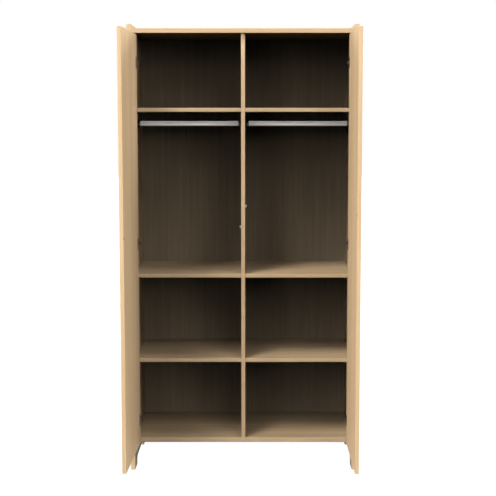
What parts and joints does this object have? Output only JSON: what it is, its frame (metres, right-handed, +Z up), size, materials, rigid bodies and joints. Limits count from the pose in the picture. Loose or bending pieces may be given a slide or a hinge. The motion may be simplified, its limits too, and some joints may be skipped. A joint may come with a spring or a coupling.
{
  "type": "two-door wardrobe",
  "caption": "Tall free-standing wardrobe with inset hinged doors, a centre divider, shelves and hanging rails, in pale wood-look board, doors standing open.",
  "frame": {"origin": "on the floor under the middle of the whole object with its doors open as in the picture", "axes": "+Z up, +X to the right seen from the front, +Y to the back; the front is at -Y"},
  "size_m": [1.15, 1.1134, 2.25],
  "materials": {
    "maple_board": "satin maple-look board",
    "maple_door": "satin maple-look door board",
    "maple_back_sheet": "thin maple-look fibreboard",
    "satin_rail": "satin",
    "black_socket": "matt black",
    "nickel_hinge": "nickel-plated",
    "link_steel": "nickel-plated",
    "cream_latch": "cream moulded plastic",
    "grey_plunger": "grey moulded plastic"
  },
  "bodies": {
    "carcass": {"side_panel_left": "maple_board", "side_panel_right": "maple_board", "top_panel": "maple_board", "bottom_panel": "maple_board", "centre_divider": "maple_board", "back_panel": "maple_back_sheet", "hat_shelf_left": "maple_board", "hat_shelf_right": "maple_board", "middle_shelf_left": "maple_board", "middle_shelf_right": "maple_board", "lower_shelf_left": "maple_board", "lower_shelf_right": "maple_board", "hanging_rail_left": "satin_rail", "rail_socket_left_outer": "black_socket", "rail_socket_left_inner": "black_socket", "hinge_arm_left_bottom": "nickel_hinge", "hinge_plate_left_bottom": "nickel_hinge", "hinge_arm_left_middle": "nickel_hinge", "hinge_plate_left_middle": "nickel_hinge", "hinge_arm_left_top": "nickel_hinge", "hinge_plate_left_top": "nickel_hinge", "latch_housing_left": "cream_latch", "hanging_rail_right": "satin_rail", "rail_socket_right_outer": "black_socket", "rail_socket_right_inner": "black_socket", "hinge_arm_right_bottom": "nickel_hinge", "hinge_plate_right_bottom": "nickel_hinge", "hinge_arm_right_middle": "nickel_hinge", "hinge_plate_right_middle": "nickel_hinge", "hinge_arm_right_top": "nickel_hinge", "hinge_plate_right_top": "nickel_hinge", "latch_housing_right": "cream_latch"},
    "left_door": {"door_left": "maple_door", "latch_strike_left": "nickel_hinge", "hinge_cup_left_bottom": "nickel_hinge", "hinge_cup_left_middle": "nickel_hinge", "hinge_cup_left_top": "nickel_hinge"},
    "left_inner_links": {"hinge_inner_link_left_bottom": "link_steel", "hinge_inner_link_left_middle": "link_steel", "hinge_inner_link_left_top": "link_steel"},
    "left_outer_links": {"hinge_outer_link_left_bottom": "link_steel", "hinge_outer_link_left_middle": "link_steel", "hinge_outer_link_left_top": "link_steel"},
    "left_plunger": {"latch_plunger_left": "grey_plunger"},
    "right_door": {"door_right": "maple_door", "latch_strike_right": "nickel_hinge", "hinge_cup_right_bottom": "nickel_hinge", "hinge_cup_right_middle": "nickel_hinge", "hinge_cup_right_top": "nickel_hinge"},
    "right_inner_links": {"hinge_inner_link_right_bottom": "link_steel", "hinge_inner_link_right_middle": "link_steel", "hinge_inner_link_right_top": "link_steel"},
    "right_outer_links": {"hinge_outer_link_right_bottom": "link_steel", "hinge_outer_link_right_middle": "link_steel", "hinge_outer_link_right_top": "link_steel"},
    "right_plunger": {"latch_plunger_right": "grey_plunger"}
  },
  "joints": [
    {"name": "left_door_hinge", "type": "hinge", "parent": "carcass", "child": "left_door", "pos_m": [-0.5397, -0.01831, 1.125], "axis": [0, 0, -1], "range_deg": [-91.5, 3.5]},
    {"name": "left_inner_link_pivot", "type": "hinge", "parent": "carcass", "child": "left_inner_links", "pos_m": [-0.51937, -0.00064, 1.125], "axis": [0, 0, 1], "range_deg": [-40.01, 1.58]},
    {"name": "left_outer_link_pivot", "type": "hinge", "parent": "carcass", "child": "left_outer_links", "pos_m": [-0.51858, -0.00775, 1.125], "axis": [0, 0, 1], "range_deg": [-47.83, 1.88]},
    {"name": "left_latch_press", "type": "slide", "parent": "carcass", "child": "left_plunger", "axis": [0, 1, 0], "range_m": [0, 0.003], "stiffness_N_per_m": 300, "springref_m": -0.002},
    {"name": "right_door_hinge", "type": "hinge", "parent": "carcass", "child": "right_door", "pos_m": [0.5397, -0.01831, 1.125], "axis": [0, 0, 1], "range_deg": [-90, 5]},
    {"name": "right_inner_link_pivot", "type": "hinge", "parent": "carcass", "child": "right_inner_links", "pos_m": [0.51937, -0.00064, 1.125], "axis": [0, 0, -1], "range_deg": [-39.36, 2.23]},
    {"name": "right_outer_link_pivot", "type": "hinge", "parent": "carcass", "child": "right_outer_links", "pos_m": [0.51858, -0.00775, 1.125], "axis": [0, 0, -1], "range_deg": [-47.05, 2.66]},
    {"name": "right_latch_press", "type": "slide", "parent": "carcass", "child": "right_plunger", "axis": [0, 1, 0], "range_m": [0, 0.003], "stiffness_N_per_m": 300, "springref_m": -0.002}
  ],
  "couplings": [
    {"joint": "left_inner_link_pivot", "follows": "left_door_hinge", "ratio": 0.43675},
    {"joint": "left_outer_link_pivot", "follows": "left_door_hinge", "ratio": 0.52219},
    {"joint": "right_inner_link_pivot", "follows": "right_door_hinge", "ratio": 0.43675},
    {"joint": "right_outer_link_pivot", "follows": "right_door_hinge", "ratio": 0.52219}
  ]
}
